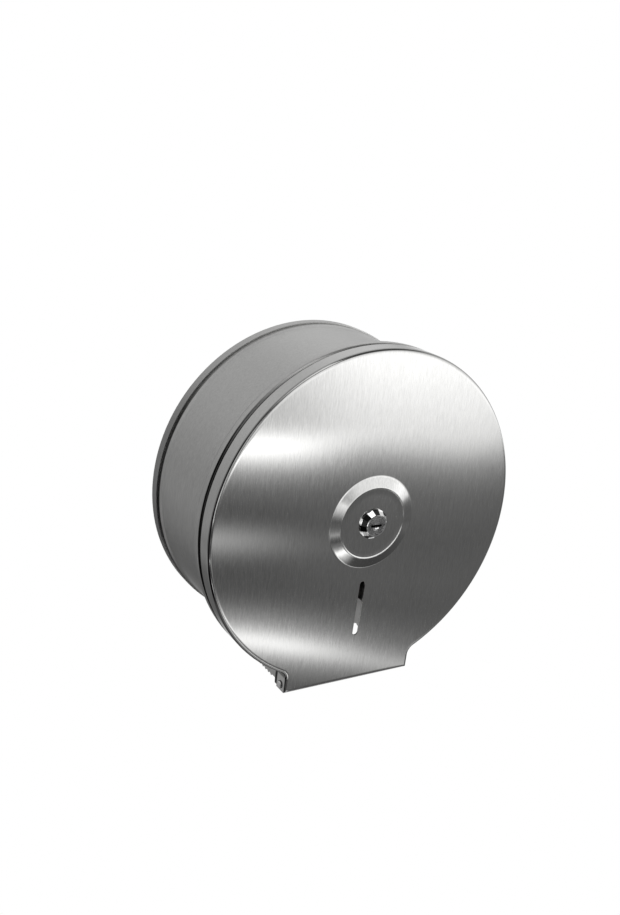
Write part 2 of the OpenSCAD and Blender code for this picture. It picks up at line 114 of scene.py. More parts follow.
class Tree:
    """The node tree of a material or of the world."""

    def __init__(self, owner):
        owner.use_nodes = True
        self.nodes = owner.node_tree.nodes
        self.links = owner.node_tree.links
        self.nodes.clear()

    def make(self, kind, inputs=(), out=0, **settings):
        """One node: its settings, then its inputs by name or place. Returns one output."""
        node = self.nodes.new(kind)
        for name, value in settings.items():
            setattr(node, name, value)
        for key, value in dict(inputs).items():
            if isinstance(value, Field):
                self.links.new(value.socket, node.inputs[key])
            else:
                node.inputs[key].default_value = value
        return Field(self, node.outputs[out]) if len(node.outputs) else None

    def place(self):
        """The point in the object's own coordinates, as x, y and z in metres."""
        whole = self.make("ShaderNodeTexCoord", out="Object")
        return [self.make("ShaderNodeSeparateXYZ", {0: whole}, out=axis) for axis in "XYZ"]

    def vector(self, x, y, z):
        return self.make("ShaderNodeCombineXYZ", {0: x, 1: y, 2: z})

    def noise(self, vector, scale, detail=2.0, roughness=0.5):
        """Soft noise about 0.5."""
        return self.make(
            "ShaderNodeTexNoise",
            {"Vector": vector, "Scale": scale, "Detail": detail, "Roughness": roughness},
        )

    def mix(self, share, first, second):
        """first where share is 0 and second where it is 1, as numbers."""
        return self.make("ShaderNodeMix", {0: share, 2: first, 3: second}, data_type="FLOAT")

    def grey(self, value):
        """A colour with the same red, green and blue."""
        return self.make("ShaderNodeCombineColor", {0: value, 1: value, 2: value})


print("fields ready")

# %% [markdown]
# ## The cover
#
# The cover is one pressing: a skirt, a tight bend, a face with a shallow crown, and a ring
# embossed round the lock. A lathe could turn the round part, but not the spout; a sheet drawn
# by hand could follow the spout, but its crown would wobble in the reflections. So the face is
# given by its depth as a function of the radius, and its outline by lines and arcs. The sheet
# is drawn in front view, as across, up and distance from the wall, all in millimetres.

# %% The cover's outline
COVER_R, BEND_R, SHEET = 130.0, 2.5, 1.0
SPOUT_X, SPOUT_LOW, FILLET_R = 56.5, 133.5, 8.0
# distances from the wall of the skirt's free edge and of the face's edge, and the crown's height
FREE_D, FACE_D, CROWN = 98.7, 111.2, 2.0
ROUND_STEPS, CORNER_STEPS, SIDE_STEPS, HALF_FOOT = 432, 14, 10, 36
FILLET_X = SPOUT_X + FILLET_R
FILLET_Z = -math.sqrt((COVER_R + FILLET_R) ** 2 - FILLET_X**2)
FILLET_TURN = math.atan2(-FILLET_Z, -FILLET_X)


def outline(t):
    """The cover's outline taken in by t, as rows of across and up, anticlockwise from the
    middle of the foot: the foot, the right side, the hollow corner as an arc whose radius
    grows by t, and then the round, whose radius shrinks by t, and the same mirrored."""
    x, low = SPOUT_X - t, -(SPOUT_LOW - t)
    foot_x = np.linspace(0, x, HALF_FOOT + 1)
    rows = [np.column_stack([foot_x, np.full_like(foot_x, low)])]
    side_z = np.linspace(low, FILLET_Z, SIDE_STEPS + 1)[1:]
    rows.append(np.column_stack([np.full_like(side_z, x), side_z]))
    turn = np.linspace(math.pi, FILLET_TURN, CORNER_STEPS + 1)[1:]
    r = FILLET_R + t
    rows.append(np.column_stack([FILLET_X + r * np.cos(turn), FILLET_Z + r * np.sin(turn)]))
    start = math.atan2(FILLET_Z, FILLET_X)
    turn = np.linspace(start, math.pi / 2, ROUND_STEPS // 2 + 1)[1:]
    r = COVER_R - t
    rows.append(np.column_stack([r * np.cos(turn), r * np.sin(turn)]))
    right = np.concatenate(rows)
    left = right[-2:0:-1] * [-1, 1]
    return np.concatenate([right, left])


AROUND = len(outline(0))
on_foot = np.zeros(AROUND, bool)
on_foot[: HALF_FOOT + 1] = True
on_foot[AROUND - HALF_FOOT :] = True
print("the outline has", AROUND, "points,", on_foot.sum(), "of them on the foot")

# %% [markdown]
# Depth falls with the square of the radius, as it does on any shallow cap, and it goes on
# falling into the spout. The long reflections on the face depend on little else.

# %% The depth of the face
def crown(r):
    """Height of the crown: highest at the middle, nothing at the edge of the round face, and
    less than nothing beyond it, always by the square of the radius."""
    return CROWN * (1 - (r / (COVER_R - BEND_R)) ** 2)


def face_depth(x, z):
    """Distance of the face from the wall: that of its edge, plus the crown."""
    return FACE_D + crown(np.hypot(x, z))


print("the face stands", face_depth(0, 0), "mm off the wall in its middle")

# %% [markdown]
# The mesh is made in three patches that share their rims: the band of skirt and bend, the face,
# and the ring. Each row carries two positions, one on the outside of the sheet and one on the
# inside. The shell is closed by a strip along every edge that only one face uses, which gives
# the free edge of the skirt, the slot and the lock's hole their real thickness.
#
# Two attributes go with the mesh, and the finish reads them. "inside" is 0 on the outside and 1
# on the inside, which is never polished. "shade" is painted shade: how much a point's colour is
# darkened as if it missed the surroundings' light. Here only the bend has some, as a painted dark
# reflection along it.

# %% A sheet with two sides
SHARP_DEGREES = 32


class Sheet:
    """Points on both sides of a sheet, and the four-cornered faces between them."""

    def __init__(self):
        self.outer, self.inner, self.faces, self.shade = [], [], [], []
        self.count = 0

    def add(self, outer, inner, shade=0.0):
        """Adds points, given as two arrays of rows, and returns their numbers. shade is the
        painted
        shade there: how much the outside's colour is darkened."""
        self.shade.append(np.full(len(outer), shade))
        numbers = np.arange(self.count, self.count + len(outer))
        self.outer.append(outer)
        self.inner.append(inner)
        self.count += len(outer)
        return numbers

    def strip(self, first, second, used=None):
        """Faces between two closed rows of numbers, the second inside the first."""
        quads = np.column_stack([first, np.roll(first, -1), np.roll(second, -1), second])
        self.faces.append(quads if used is None else quads[used])

    def shell(self, name):
        """The closed object: outside, inside turned over, and a strip along each free edge. The
        sheet's distance from the wall becomes minus Y and its height Z, in metres."""
        outer, inner = np.concatenate(self.outer), np.concatenate(self.inner)
        quads = np.concatenate(self.faces)
        edges = np.concatenate([quads[:, [i, (i + 1) % 4]] for i in range(4)])
        keys = np.sort(edges, axis=1)
        _, places, counts = np.unique(keys, axis=0, return_index=True, return_counts=True)
        free = edges[places[counts == 1]]
        n = len(outer)
        rim = np.column_stack([free[:, 1], free[:, 0], free[:, 0] + n, free[:, 1] + n])
        quads = np.concatenate([quads, quads[:, ::-1] + n, rim])
        points = np.concatenate([outer, inner])
        points = np.column_stack([points[:, 0], -points[:, 2], points[:, 1]]) * MM
        mesh = bpy.data.meshes.new(name)
        mesh.from_pydata(points.tolist(), [], quads.tolist())
        mesh.update()
        mesh.shade_smooth()
        mesh.set_sharp_from_angle(angle=math.radians(SHARP_DEGREES))
        inside = mesh.attributes.new("inside", "FLOAT", "POINT")
        inside.data.foreach_set("value", np.repeat([0.0, 1.0], n))
        # painted shade, by which the finish darkens the colour; the inside gets none
        shade = mesh.attributes.new("shade", "FLOAT", "POINT")
        shade.data.foreach_set("value", np.concatenate([*self.shade, np.zeros(n)]))
        thing = bpy.data.objects.new(name, mesh)
        bpy.context.scene.collection.objects.link(thing)
        print(name, "has", len(quads), "faces and", len(free), "edges along its rims")
        return thing


def level(t, depth):
    """A row of the outline taken in by t, at one depth or at a depth for each point."""
    row = outline(t)
    return np.column_stack([row, np.broadcast_to(depth, len(row))])


print("a row of the outline holds", level(0, FACE_D).shape, "numbers")

# %% [markdown]
# A press folds the skirt back round the whole edge but for the foot of the spout, where the
# paper comes out. A bevel on a sharp corner would round the edge as well, but not with the same
# sheet behind it. So the outline is carried round a quarter turn: the outside on the bend's
# radius and the inside on that radius less the sheet. A row just beside each corner keeps the
# flat parts flat where the normals are smoothed.

# %% The skirt and the bend
cover = Sheet()
BEND_D = FACE_D - BEND_R
BESIDE_FREE, BESIDE_BEND = 0.3, 0.4
BEND_STEPS = 8
# the bend's painted shade, a dark reflection painted into its colour, is darkest here and spreads
# this far
DARKEST_TURN, DARK_SPREAD = 38, 26  # degrees round the bend
skirt_depths = (FREE_D, FREE_D + BESIDE_FREE, BEND_D - BESIDE_BEND, BEND_D)
rows = [cover.add(level(0, depth), level(SHEET, depth)) for depth in skirt_depths]
small = (BEND_R - SHEET) / BEND_R
face_edge = face_depth(*outline(BEND_R).T) - FACE_D
# each row of the bend gets painted shade, by a bell over how far round the bend it lies
for turn in np.linspace(0, math.pi / 2, BEND_STEPS + 1)[1:]:
    t, up = BEND_R * (1 - math.cos(turn)), BEND_R * math.sin(turn)
    share = math.sin(turn) ** 2
    rows.append(
        cover.add(
            level(t, BEND_D + up + share * face_edge),
            level(SHEET + t * small, BEND_D + up * small + share * face_edge),
            shade=math.exp(-(((math.degrees(turn) - DARKEST_TURN) / DARK_SPREAD) ** 2)),
        )
    )
# True for a quad between two points of the foot; the foot has no skirt behind its bend
quad_on_foot = on_foot & np.roll(on_foot, -1)
for i, (first, second) in enumerate(zip(rows, rows[1:])):
    on_skirt = i < len(skirt_depths) - 1
    cover.strip(first, second, ~quad_on_foot if on_skirt else None)
face_rim = rows[-1]
print("skirt and bend are", len(rows), "rows; the skirt is", round(BEND_D - FREE_D, 1), "mm deep")

# %% [markdown]
# The face runs from that rim to the foot of the ring along straight spokes. Under the ring it
# leaves a window of a few spokes, and a nest of closed rows leads from the window's border to
# the outline of the slot. A boolean would cut the slot in one step, but the long thin faces that
# it leaves would show in a surface as shiny as this one.

# %% The face and the level slot
RING_R = 35.8
SLOT_X, SLOT_TOP, SLOT_LOW = 2.4, -47.7, -93.3
LEVELS = 72
# the window: rows counted from the rim, and spokes on either side of the middle one
low, top, side = 25, 65, 6


def slot_outline(count):
    """count points along the slot, clockwise from its top and evenly spaced along the way: half
    a turn over the top, the right side down, half a turn below, and the left side up."""
    straight = SLOT_TOP - SLOT_LOW - 2 * SLOT_X
    half = math.pi * SLOT_X
    length = 2 * straight + 2 * half
    at = (np.arange(count) / count * length + half / 2) % length
    over = math.pi * (1 - at / half)
    under = -math.pi * (at - half - straight) / half
    part = [at < half, at < half + straight, at < 2 * half + straight]
    x = [SLOT_X * np.cos(over), np.full(count, SLOT_X), SLOT_X * np.cos(under)]
    z = [
        SLOT_TOP - SLOT_X + SLOT_X * np.sin(over),
        SLOT_TOP - SLOT_X - (at - half),
        SLOT_LOW + SLOT_X + SLOT_X * np.sin(under),
    ]
    rising = SLOT_LOW + SLOT_X + (at - 2 * half - straight)
    return np.column_stack([np.select(part, x, -SLOT_X), np.select(part, z, rising)])


def on_face(points):
    """Both sides of the sheet at points given as across and up."""
    depth = face_depth(points[:, 0], points[:, 1])
    return (
        np.column_stack([points, depth]),
        np.column_stack([points, depth - SHEET]),
    )


edge = outline(BEND_R)
turn = np.arctan2(edge[:, 1], edge[:, 0])
unit = np.column_stack([np.cos(turn), np.sin(turn)])
ring = RING_R * unit
grid = [face_rim]
grid_points = [edge]
for i in range(1, LEVELS + 1):
    points = edge + (ring - edge) * (i / LEVELS)
    grid_points.append(points)
    grid.append(cover.add(*on_face(points)))
grid, grid_points = np.array(grid), np.array(grid_points)
spoke = np.arange(AROUND)
spoke = np.where(spoke > AROUND // 2, spoke - AROUND, spoke)
in_window = (spoke >= -side) & (spoke < side)
for i in range(LEVELS):
    cover.strip(grid[i], grid[i + 1], ~in_window if low <= i < top else None)
ring_rim = grid[-1]
print("the window reaches from", grid_points[low, 0].round(1), "to", grid_points[top, 0].round(1))

# %% The nest round the slot
NEST = 8
# the window's border as row and spoke, clockwise from the middle of its top
border = [(top, k) for k in range(0, side)]
border += [(i, side) for i in range(top, low, -1)]
border += [(low, k) for k in range(side, -side, -1)]
border += [(i, -side) for i in range(low, top)]
border += [(top, k) for k in range(-side, 0)]
border_numbers = np.array([grid[i, k] for i, k in border])
border_points = np.array([grid_points[i, k] for i, k in border])
slot_points = slot_outline(len(border))
last = border_numbers
for j in range(1, NEST + 1):
    points = border_points + (slot_points - border_points) * (j / NEST)
    row = cover.add(*on_face(points))
    cover.strip(row, last)
    last = row
print("the slot's rim has", len(border), "points")

# %% [markdown]
# A ring embossed round the lock stiffens the middle of the sheet and lifts the lock off the
# face. It is round, so it could be lathed as a piece of its own, but then a seam would show. It
# is a profile instead, carried round on the spokes on which the face ends, and the inside of the
# sheet lies one thickness behind it, square to the profile.

# %% The ring round the lock
# radius and distance from the wall, from the foot of the ring to the lock's hole
RING_LINE = np.array([
    (35.8, 113.04), (35.5, 113.09), (35.1, 113.20), (33.5, 113.61), (31.5, 114.12),
    (29.5, 114.62), (28.9, 114.77), (28.5, 114.87), (28.2, 114.94), (27.95, 114.97),
    (27.7, 114.97), (27.5, 114.93), (27.3, 114.88), (27.1, 114.83), (26.8, 114.80),
    (22.0, 114.80), (16.0, 114.80), (12.5, 114.80), (9.6, 114.80),
])
along = np.gradient(RING_LINE, axis=0)
along /= np.linalg.norm(along, axis=1)[:, None]
inside_line = RING_LINE - SHEET * np.column_stack([along[:, 1], -along[:, 0]])
last = ring_rim
for (r, depth), (r_in, depth_in) in zip(RING_LINE[1:], inside_line[1:]):
    row = cover.add(
        np.column_stack([unit * r, np.full(AROUND, depth)]),
        np.column_stack([unit * r_in, np.full(AROUND, depth_in)]),
    )
    cover.strip(last, row)
    last = row
cover_sheet = cover.shell("cover_sheet")
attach(cover_sheet, "cover")
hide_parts("front_cover")

# %% [markdown]
# ## Small things round the key
#
# The bezel ends in a fine rolled lip, and below the keyway the plug is pressed into a small
# swelling that leads the key in. A curve with a bevel would make the lip too, but its faces
# would be counted by the curve and not by hand. The lip is a grid over two angles, which closes
# on itself, and the swelling is a grid over a square that is squeezed into an oval.

# %% The bezel's lip
def closed_surface(name, points):
    """An object from a grid of points whose rows and columns both close on themselves."""
    rows, columns = points.shape[:2]
    number = np.arange(rows * columns).reshape(rows, columns)
    right, down = np.roll(number, -1, axis=1), np.roll(number, -1, axis=0)
    quads = np.stack([number, right, np.roll(right, -1, axis=0), down], axis=-1)
    mesh = bpy.data.meshes.new(name)
    mesh.from_pydata((points.reshape(-1, 3) * MM).tolist(), [], quads.reshape(-1, 4).tolist())
    mesh.shade_smooth()
    thing = bpy.data.objects.new(name, mesh)
    bpy.context.scene.collection.objects.link(thing)
    print(name, "has", rows * columns, "faces")
    return thing


# radius of the lip, distance from the wall of its middle, and radius of the roll itself
LIP_R, LIP_D, LIP_ROLL = 7.8, 119.78, 0.22
LIP_AROUND, LIP_OVER = 120, 12
round_it, over = np.meshgrid(
    np.linspace(0, 2 * math.pi, LIP_AROUND, endpoint=False),
    np.linspace(0, 2 * math.pi, LIP_OVER, endpoint=False),
    indexing="ij",
)
# a circle round the axis, whose radius and depth follow a small circle
from_axis = LIP_R + LIP_ROLL * np.cos(over)
lip = closed_surface("bezel_lip", np.stack([
    from_axis * np.cos(round_it),
    -(LIP_D + LIP_ROLL * np.sin(over)),
    from_axis * np.sin(round_it),
], axis=-1))
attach(lip, "cover")

# %% The key's lead-in
BURIED = 0.05  # millimetres
COLUMNS, ROWS = 25, 17


def swelling(name, middle, wide, high, rise, depth):
    """A pressed swelling: half widths wide and high about its middle, and a height that falls
    with the square of the distance; its flat back is buried in the plug's face. A point of the
    square goes to the oval by each coordinate times the root of 1 less half the other's square."""
    u, v = np.meshgrid(np.linspace(-1, 1, COLUMNS), np.linspace(-1, 1, ROWS), indexing="ij")
    x, z = u * np.sqrt(1 - v * v / 2), v * np.sqrt(1 - u * u / 2)
    r2 = np.clip(x * x + z * z, 0, 1)
    front = np.stack([middle[0] + wide * x, -(depth + rise * (1 - r2)), middle[1] + high * z], -1)
    back = front.copy()
    back[..., 1] = -(depth - BURIED)
    n, m = u.shape
    number = np.arange(n * m).reshape(n, m)
    quads = np.stack(
        [number[:-1, :-1], number[1:, :-1], number[1:, 1:], number[:-1, 1:]], axis=-1
    ).reshape(-1, 4)
    loop = np.concatenate(
        [number[:, 0], number[-1, 1:], number[-2::-1, -1], number[0, -2:0:-1]]
    )
    ahead = np.roll(loop, -1)
    sides = np.column_stack([ahead, loop, loop + n * m, ahead + n * m])
    faces = np.concatenate([quads, quads[:, ::-1] + n * m, sides])
    points = np.concatenate([front.reshape(-1, 3), back.reshape(-1, 3)]) * MM
    mesh = bpy.data.meshes.new(name)
    mesh.from_pydata(points.tolist(), [], faces.tolist())
    mesh.shade_smooth()
    thing = bpy.data.objects.new(name, mesh)
    bpy.context.scene.collection.objects.link(thing)
    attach(thing, "lock")
    print(name, "has", len(faces), "faces")
    return thing


lead_in = swelling("key_lead_in", (0.3, -2.3), 2.5, 1.5, 0.75, 119.45)

# %% [markdown]
# ## Finishes
#
# Sheet, plating and plastic differ in what a light does on them, so each has its own recipe. A
# photographed texture would bring its own lighting with it, so all patterns are noise and waves
# on the place in the piece, and what is measured from the wall is minus Y.

# %% The start and the end of a finish
def finish_of(name):
    """A new, empty material, and the tree to build it on."""
    material = bpy.data.materials.new(name)
    tree = Tree(material)
    return material, tree


def surface(tree, colour, roughness, metal=1.0, normal=None, **fixed):
    """Ends a material: the principled surface with its fields and its fixed values."""
    inputs = {"Base Color": colour, "Roughness": roughness, "Metallic": metal}
    if normal is not None:
        inputs["Normal"] = normal
    inputs.update({name.replace("_", " "): value for name, value in fixed.items()})
    shader = tree.make("ShaderNodeBsdfPrincipled", inputs)
    tree.make("ShaderNodeOutputMaterial", {0: shader})


BUMP = 0.00002  # metres from the lowest to the highest of a relief
print("a relief is", BUMP / MM, "mm high")

# %% [markdown]
# Brushed sheet carries countless fine scratches, all up and down, which smear each reflection
# across them. Cutting scratches into the mesh would take millions of faces. Noise that is
# stretched along Z gives the streaks that can be seen, and a fixed anisotropy the smear of those
# that can't.
#
# Where two pieces leave a narrow gap, little light gets in. Traced light comes out of a gap in
# bright metal after a few bounces, which left the gaps too light, so their shade is painted into
# the colour by place. The same painted shade darkens the pan's rim where it meets the wall. Each
# entry of dark is a band of painted shade: the distances from the wall where it starts and ends,
# its share of darkness, and the radius from which on it counts. Towards the top, more light falls
# in, so the painted shade is weaker there. The cover's bend gets painted shade from its own
# attribute in the same way, a dark reflection painted into its colour.

# %% Brushed steel
WARMTH = (1.0, 0.998, 0.985)
EDGE = 0.5  # millimetres over which a dark band fades
# heights in metres between which the painted shade deepens, and its share above and below them
BEND_SHADE = (0.12, 0.04, 0.4, 0.92)
GAP_SHADE = (0.11, 0.05, 0.35, 1.0)


def brushed(name, tone, rough, grain, relief, along=0.02, pull=0.0, dark=()):
    """Sheet steel brushed up and down: streaks are noise that is stretched along Z, and they
    move the roughness, the tone and, as a very low relief, the normal. Painted shade then darkens
    the colour along the cover's bend and in the bands of dark."""
    material, tree = finish_of(name)
    x, y, z = tree.place()
    stretched = tree.vector(x, y, z * along)
    hair = tree.noise(stretched, grain, detail=3.0, roughness=0.7)
    broad = tree.noise(stretched, grain * 0.3, detail=2.0)
    handled = tree.noise(tree.vector(x, y, z), 14.0, detail=4.0)
    streak = (hair - 0.5) * 0.9 + (broad - 0.5) * 0.2
    inside = tree.make("ShaderNodeAttribute", out="Fac", attribute_name="inside")
    roughness = (streak * 0.10 + (handled - 0.5) * 0.03 + inside * 0.3 + rough).clamp()
    value = (streak * 0.34 + (handled - 0.5) * 0.04 + tone).clamp()
    # painted shade along the cover's bend, a stand-in for its dark reflection, weaker near the top
    shade = tree.make("ShaderNodeAttribute", out="Fac", attribute_name="shade")
    value = value * (1.0 - shade * z.ramp(*BEND_SHADE))
    r = (x.power(2.0) + z.power(2.0)).power(0.5)
    # bands of painted shade in gaps and along the pan's rim by the wall
    for start, end, share, from_r in dark:
        gap = (0.0 - y).ramp(start * MM, (start + EDGE) * MM)
        gap = gap * (0.0 - y).ramp(end * MM, (end - EDGE) * MM)
        gap = gap * r.ramp((from_r - EDGE) * MM, from_r * MM)
        value = value * (1.0 - gap * share * z.ramp(*GAP_SHADE))
    colour = tree.make(
        "ShaderNodeCombineColor", {i: value * part for i, part in enumerate(WARMTH)}
    )
    normal = tree.make(
        "ShaderNodeBump", {"Height": streak, "Strength": relief, "Distance": BUMP}
    )
    surface(tree, colour, roughness, normal=normal, Anisotropic=pull)
    return material


print("the warmth of steel, as red, green and blue:", WARMTH)

# %% [markdown]
# Chrome and zinc are thin coats over a smooth piece, so they show hardly any pattern: faint
# scuffs, and clouds where the coat is thicker. Two details of the real pieces are painted into
# the same recipe, each asked for by name. A ground bezel has facets, of which every other one
# mirrors something dark; that dark reflection is painted into the colour. A rivet's head gets a
# painted shadow at its foot.

# %% Plated metal
CONE = (119.55, 119.65)  # distances from the wall between which the facets end
# how much the painted dark reflection on the facets and the painted shadow at a head's foot darken
# the colour
PAINTED_FACET_SHARE, PAINTED_FOOT_SHADOW_SHARE = 0.93, 0.9


def plated(name, tone, rough, tint=(1.0, 1.0, 1.0), cut=0, root=None):
    """Plated or polished metal with faint scuffs. cut is a number of facets ground round the
    axis: every other one gets a painted dark reflection in its colour. root is a span across, left
    and right alike, in which a head gets a painted shadow at its foot."""
    material, tree = finish_of(name)
    x, y, z = tree.place()
    scuff = tree.noise(tree.vector(x, y, z), 260.0, detail=4.0)
    cloud = tree.noise(tree.vector(x, y, z), 40.0, detail=2.0)
    value = ((scuff - 0.5) * 0.06 + (cloud - 0.5) * 0.05 + tone).clamp()
    # a painted shadow round the foot of a head
    if root:
        inner, outer = root
        foot = x.size().ramp((outer + 0.1) * MM, (outer - 0.1) * MM)
        value = value * (1.0 - foot * x.size().ramp(inner * MM, (inner + 0.1) * MM) * PAINTED_FOOT_SHADOW_SHARE)
    # a painted dark reflection on every other facet
    if cut:
        turn = tree.make("ShaderNodeMath", {0: z, 1: x}, operation="ARCTAN2")
        wave = tree.make("ShaderNodeMath", {0: turn * (cut / 2)}, operation="SINE")
        on_cone = (0.0 - y).ramp(CONE[1] * MM, CONE[0] * MM)
        value = value * (1.0 - on_cone * wave.ramp(0.1, -0.1) * PAINTED_FACET_SHARE)
    colour = tree.make(
        "ShaderNodeCombineColor", {i: value * part for i, part in enumerate(tint)}
    )
    roughness = ((scuff - 0.5) * 0.10 + rough).clamp()
    surface(tree, colour, roughness)
    return material


print("facets end between", *CONE, "mm off the wall")

# %% [markdown]
# The end of the plug is faced on a lathe. The tool leaves a fine spiral, and rings about the
# axis can't be told from it. A ring-shaped normal map would do as well, but the sine of the
# radius needs no picture. Behind the face, the keyway is darkened by painted shade, as a narrow
# recess would be.

# %% Turned metal
# share of its tone that the keyway keeps under its painted shade
KEYWAY_SHADE_TONE = 0.04


def turned(name, tone, rough, pitch, hollow):
    """Metal faced on a lathe: fine rings about the axis of the lock, in tone and relief, as the
    sine of the radius over the pitch. hollow is two distances from the wall: the metal keeps its
    tone in front of the first and is darkened by painted shade behind the second."""
    material, tree = finish_of(name)
    x, y, z = tree.place()
    scuff = tree.noise(tree.vector(x, y, z), 420.0, detail=4.0)
    r = (x.power(2.0) + z.power(2.0)).power(0.5)
    wave = tree.make("ShaderNodeMath", {0: r * (2 * math.pi / (pitch * MM))}, operation="SINE")
    value = (wave * 0.10 + (scuff - 0.5) * 0.30 + tone).clamp()
    # painted shade in the keyway behind the plug's face
    value = value * (0.0 - y).ramp(hollow[1] * MM, hollow[0] * MM, KEYWAY_SHADE_TONE, 1.0)
    normal = tree.make("ShaderNodeBump", {"Height": wave, "Strength": 0.3, "Distance": BUMP})
    surface(tree, tree.grey(value), ((scuff - 0.5) * 0.12 + rough).clamp(), normal=normal)
    return material


print("the keyway keeps", KEYWAY_SHADE_TONE, "of its tone")

# %% [markdown]
# The hub that carries the paper core is moulded in black plastic. Plastic is no metal: it
# mirrors a little white light over its own colour, whatever that is.

# %% Moulded plastic
GRAIN_BUMP = 0.00004


def moulded(name, tone, rough):
    """Injection moulded plastic: nearly black, spark-eroded to a fine matt grain, with faint
    flow marks that run along the pull of the mould."""
    material, tree = finish_of(name)
    x, y, z = tree.place()
    spark = tree.noise(tree.vector(x, y, z), 2600.0, detail=2.0)
    flow = tree.noise(tree.vector(x, y * 0.15, z), 120.0, detail=3.0)
    value = ((flow - 0.5) * 0.02 + (spark - 0.5) * 0.01 + tone).clamp()
    colour = tree.make("ShaderNodeCombineColor", {0: value, 1: value, 2: value * 1.06})
    roughness = ((flow - 0.5) * 0.12 + (spark - 0.5) * 0.10 + rough).clamp()
    relief = {"Height": spark, "Strength": 0.35, "Distance": GRAIN_BUMP}
    normal = tree.make("ShaderNodeBump", relief)
    surface(tree, colour, roughness, metal=0.0, normal=normal, IOR=1.49)
    return material


print("the plastic's grain is", GRAIN_BUMP / MM, "mm high")

# %% [markdown]
# The record names a material for each node. Some pieces of one material look different on the
# real object, because they are rolled, cut or machined in another way, or lie in a gap or by the
# wall, where shade is painted into their colour. Those get a finish of their own here.

# %% The finish of each piece
FINISHES = {
    "cover_steel": brushed("cover_steel", 0.62, 0.085, 1700.0, 0.35, pull=0.85, along=0.08),
    # the drum gets painted shade where it meets the pan's rim and in the gap under the cover's
    # skirt
    "drum_steel": brushed(
        "drum_steel", 0.55, 0.30, 900.0, 0.2, along=0.1,
        dark=[(9.9, 13.6, 0.96, 123.0), (93.4, 110.0, 0.96, 123.0)],
    ),
    # the pan gets painted shade at its edge against the wall and, lighter, along its rim
    "pan_steel": brushed(
        "pan_steel", 0.60, 0.32, 900.0, 0.2, along=0.1,
        dark=[(-1.0, 1.8, 0.85, 125.0), (1.0, 12.0, 0.42, 123.5)],
    ),
    "inner_steel": brushed("inner_steel", 0.68, 0.36, 600.0, 0.2),
    # the cheeks get painted shade beside the rear edge of the cover's tab
    "cheek_steel": brushed("cheek_steel", 0.66, 0.34, 600.0, 0.2, dark=[(92.6, 98.9, 0.94, 0.5)]),
    "chrome": plated("chrome", 0.78, 0.04),
    # the bezel gets a painted dark reflection on every other facet
    "bezel_chrome": plated("bezel_chrome", 0.86, 0.03, cut=14),
    # the plug gets painted shade in its keyway
    "plug_chrome": turned("plug_chrome", 0.30, 0.18, 0.55, hollow=(119.42, 119.3)),
    # the rivets get a painted shadow round the foot of their heads
    "rivet_steel": plated("rivet_steel", 0.95, 0.36, root=(56.2, 57.25)),
    "zinc": plated("zinc", 0.66, 0.22, (0.99, 1.0, 1.02)),
    "brass": plated("brass", 0.75, 0.25, (1.0, 0.78, 0.42)),
    "hub_plastic": moulded("hub_plastic", 0.03, 0.42),
}
slots = {part["node"]: part["material_slot"] for part in frame["record"]["subparts"]}
finish_for = dict(slots, left_cheek="cheek_steel", right_cheek="cheek_steel")
finish_for.update(key_plug="plug_chrome", lock_housing="bezel_chrome")
finish_for.update(back_pan="pan_steel", hinge_rivets="rivet_steel")
for node, thing in frame["nodes"].items():
    for slot in thing.material_slots:
        slot.material = FINISHES[finish_for[node]]
cover_sheet.data.materials.append(FINISHES["cover_steel"])
lip.data.materials.append(FINISHES["chrome"])
lead_in.data.materials.append(FINISHES["chrome"])
print("finishes for", len(slots), "nodes")

# %% [markdown]
# ## The room
#
# Polished sheet has hardly any look of its own: it shows the studio. The cover was probably
# photographed between soft lights and dark cards, which its brushing smears. Lamps and cards
# could be built as meshes, but every one of them would also have to be moved, sized and dimmed
# until its reflection fell right. A reflected ray has no more than a direction, so the room is
# written as brightness by that direction: its height over the horizon, and its angle to the side
# of straight ahead. Only reflections see this room. All else is lit by an even grey.

# %% Height and side
scene = bpy.context.scene
world = bpy.data.worlds.new("room")
scene.world = world
room = Tree(world)
way = room.make("ShaderNodeTexCoord", out="Generated")
way_x, way_y, way_z = [room.make("ShaderNodeSeparateXYZ", {0: way}, out=a) for a in "XYZ"]
DEGREES = 180 / math.pi
height = room.make("ShaderNodeMath", {0: way_z}, operation="ARCSINE") * DEGREES
aside = room.make("ShaderNodeMath", {0: way_x, 1: 0.0 - way_y}, operation="ARCTAN2") * DEGREES
off_axis = aside.size()


def span(angle, start, full, last, end):
    """1 where the angle is between full and last, and 0 before start and after end."""
    return angle.ramp(start, full) * angle.ramp(end, last)


print("the room is lit by height and side, in degrees; one radian is", round(DEGREES, 2))

# %% [markdown]
# On the photographed face, brightness was averaged by the direction of the ray that each place
# reflects. Three lists of height and brightness were then set until a render came out
# about as bright in each direction. They are blended by the angle to the side, the same to the
# left and the right, so that the cover is also lit when it is seen from the other side.

